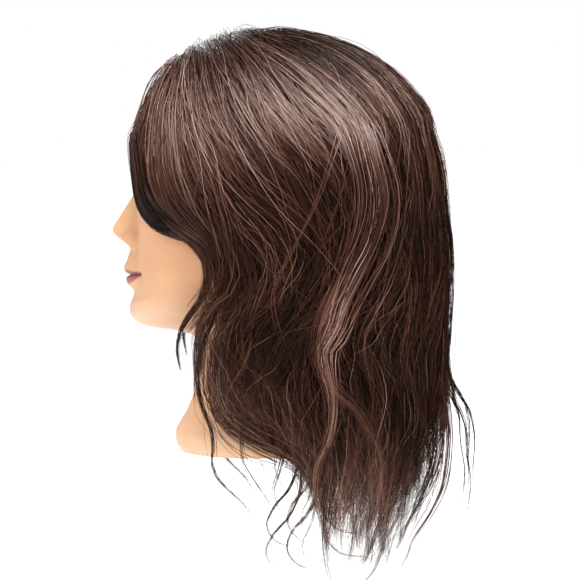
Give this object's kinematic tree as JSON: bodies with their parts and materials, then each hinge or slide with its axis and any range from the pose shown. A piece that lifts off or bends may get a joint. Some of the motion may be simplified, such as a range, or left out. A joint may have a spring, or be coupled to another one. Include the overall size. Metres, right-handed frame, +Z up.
{
  "type": "mannequin training head",
  "caption": "Hairdresser's training head: soft vinyl head and neck filled with foam, with a clamp socket under the neck and long layered dark hair rooted in the scalp.",
  "frame": {"origin": "centre of the clamp socket's mouth, in the plane of the neck's underside", "axes": "+Z up through the crown, the face looks along -Y, the head's left side is +X"},
  "size_m": [0.1844, 0.2361, 0.3836],
  "materials": {
    "skin_vinyl": "soft satin vinyl",
    "seal_latex": "matte",
    "core_foam": "cast polyurethane foam, matte",
    "socket_plastic": "satin",
    "base_plastic": "fine grain",
    "ring_wood": "plain plywood",
    "screw_steel": "zinc plated",
    "lash_fibre": "fine fibre",
    "hair_fibre": "soft sheen"
  },
  "bodies": {
    "root": {"head_skin": "skin_vinyl", "root_seal": "seal_latex", "foam_core": "core_foam", "clamp_socket": "socket_plastic", "socket_cap": "socket_plastic", "base_plate": "base_plastic", "backing_ring": "ring_wood", "base_screws": "screw_steel", "eyelashes_left": "lash_fibre", "eyelashes_right": "lash_fibre", "hair_fringe_left": "hair_fibre", "hair_fringe_right": "hair_fibre", "hair_top_left": "hair_fibre", "hair_top_right": "hair_fibre", "hair_side_left": "hair_fibre", "hair_side_right": "hair_fibre", "hair_crown_left": "hair_fibre", "hair_crown_right": "hair_fibre", "hair_back_left": "hair_fibre", "hair_back_right": "hair_fibre", "hair_ends_left": "hair_fibre", "hair_ends_right": "hair_fibre"}
  },
  "joints": []
}
